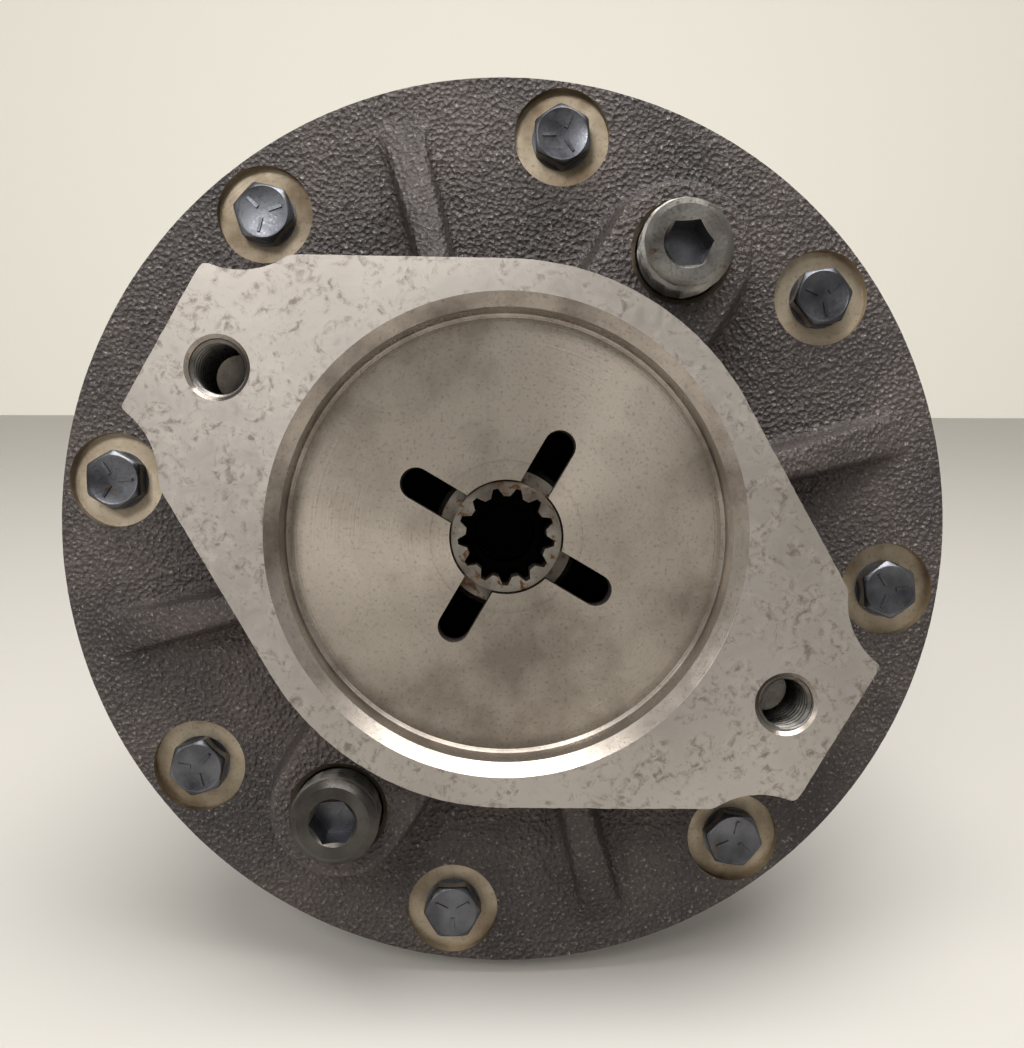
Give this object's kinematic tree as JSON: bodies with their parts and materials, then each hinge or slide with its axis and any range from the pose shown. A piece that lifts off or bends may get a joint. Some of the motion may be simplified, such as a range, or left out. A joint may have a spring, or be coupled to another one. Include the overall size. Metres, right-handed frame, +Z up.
{
  "type": "earth auger drive",
  "caption": "Planetary gearbox that turns an earth auger: round cast cover with a two-bolt motor pad and splined socket, necked case and hexagonal output shaft.",
  "frame": {"origin": "centre of the two motor bolts, on the shaft axis and on the face of the motor pad", "axes": "+Y along the shaft axis from the motor pad to the output shaft, +Z up as the drive lies on its side, +X to the right when looking at the motor pad"},
  "size_m": [0.2158, 0.3, 0.2158],
  "materials": {
    "cover_iron": "as cast, with the pad, pilot and spotfaces machined",
    "case_iron": "as cast, with the joint face, rear face and hub machined",
    "screw_steel": "oiled black",
    "plug_steel": "worn plain steel",
    "gear_steel": "hobbed and hardened",
    "shaft_steel": "turned and ground",
    "bearing_steel": "ground",
    "clip_steel": "spring steel, oiled",
    "bronze": "turned bronze",
    "seal_rubber": "moulded nitrile",
    "seal_steel": "pressed and coated"
  },
  "bodies": {
    "housing": {"case": "case_iron", "cover_screws": "screw_steel", "cover_seal_ring": "seal_rubber", "drain_plug": "plug_steel", "fill_plug": "plug_steel", "inner_bearing_cup": "bearing_steel", "input_cover": "cover_iron", "oil_seal_case": "seal_steel", "oil_seal_lip": "seal_rubber", "oil_seal_spring": "clip_steel", "outer_bearing_cup": "bearing_steel", "ring_dowels": "bearing_steel", "ring_gear": "gear_steel"},
    "output": {"bearing_nut": "clip_steel", "carrier_clip": "clip_steel", "inner_bearing_cone": "bearing_steel", "inner_bearing_rollers": "bearing_steel", "lock_washer": "clip_steel", "outer_bearing_cone": "bearing_steel", "outer_bearing_rollers": "bearing_steel", "output_shaft": "shaft_steel", "secondary_carrier": "gear_steel", "secondary_pin_1": "bearing_steel", "secondary_pin_2": "bearing_steel", "secondary_pin_3": "bearing_steel", "secondary_pin_clips": "clip_steel", "secondary_thrust_washer": "bronze", "secondary_thrust_washers": "bronze"},
    "primary_stage": {"input_thrust_washer": "bronze", "primary_carrier": "gear_steel", "primary_pin_1": "bearing_steel", "primary_pin_2": "bearing_steel", "primary_pin_3": "bearing_steel", "primary_pin_clips": "clip_steel", "primary_thrust_washers": "bronze", "secondary_sun": "gear_steel", "secondary_sun_clip": "clip_steel"},
    "input": {"input_gear": "gear_steel"},
    "primary_planet_body_1": {"primary_planet_1": "gear_steel", "primary_needles_1": "bearing_steel"},
    "primary_planet_body_2": {"primary_planet_2": "gear_steel", "primary_needles_2": "bearing_steel"},
    "primary_planet_body_3": {"primary_planet_3": "gear_steel", "primary_needles_3": "bearing_steel"},
    "secondary_planet_body_1": {"secondary_planet_1": "gear_steel", "secondary_needles_1": "bearing_steel"},
    "secondary_planet_body_2": {"secondary_planet_2": "gear_steel", "secondary_needles_2": "bearing_steel"},
    "secondary_planet_body_3": {"secondary_planet_3": "gear_steel", "secondary_needles_3": "bearing_steel"}
  },
  "joints": [
    {"name": "output_spin", "type": "hinge", "parent": "housing", "child": "output", "pos_m": [0, 0.2347, 0], "axis": [0, 1, 0], "continuous": true},
    {"name": "primary_spin", "type": "hinge", "parent": "housing", "child": "primary_stage", "pos_m": [0, 0.0846, 0], "axis": [0, 1, 0], "continuous": true},
    {"name": "input_spin", "type": "hinge", "parent": "housing", "child": "input", "pos_m": [0, 0.0142, 0], "axis": [0, 1, 0], "continuous": true},
    {"name": "primary_planet_1_spin", "type": "hinge", "parent": "primary_stage", "child": "primary_planet_body_1", "pos_m": [0.04828, 0.05, -0.00678], "axis": [0, 1, 0], "continuous": true},
    {"name": "primary_planet_2_spin", "type": "hinge", "parent": "primary_stage", "child": "primary_planet_body_2", "pos_m": [-0.01826, 0.05, 0.0452], "axis": [0, 1, 0], "continuous": true},
    {"name": "primary_planet_3_spin", "type": "hinge", "parent": "primary_stage", "child": "primary_planet_body_3", "pos_m": [-0.03001, 0.05, -0.03842], "axis": [0, 1, 0], "continuous": true},
    {"name": "secondary_planet_1_spin", "type": "hinge", "parent": "output", "child": "secondary_planet_body_1", "pos_m": [0.04828, 0.0895, -0.00678], "axis": [0, 1, 0], "continuous": true},
    {"name": "secondary_planet_2_spin", "type": "hinge", "parent": "output", "child": "secondary_planet_body_2", "pos_m": [-0.01826, 0.0895, 0.0452], "axis": [0, 1, 0], "continuous": true},
    {"name": "secondary_planet_3_spin", "type": "hinge", "parent": "output", "child": "secondary_planet_body_3", "pos_m": [-0.03001, 0.0895, -0.03842], "axis": [0, 1, 0], "continuous": true}
  ],
  "couplings": [
    {"joint": "primary_spin", "follows": "output_spin", "ratio": 4.3333},
    {"joint": "input_spin", "follows": "output_spin", "ratio": 18.778},
    {"joint": "primary_planet_1_spin", "follows": "output_spin", "ratio": -12.381},
    {"joint": "primary_planet_2_spin", "follows": "output_spin", "ratio": -12.381},
    {"joint": "primary_planet_3_spin", "follows": "output_spin", "ratio": -12.381},
    {"joint": "secondary_planet_1_spin", "follows": "output_spin", "ratio": -2.8571},
    {"joint": "secondary_planet_2_spin", "follows": "output_spin", "ratio": -2.8571},
    {"joint": "secondary_planet_3_spin", "follows": "output_spin", "ratio": -2.8571}
  ]
}
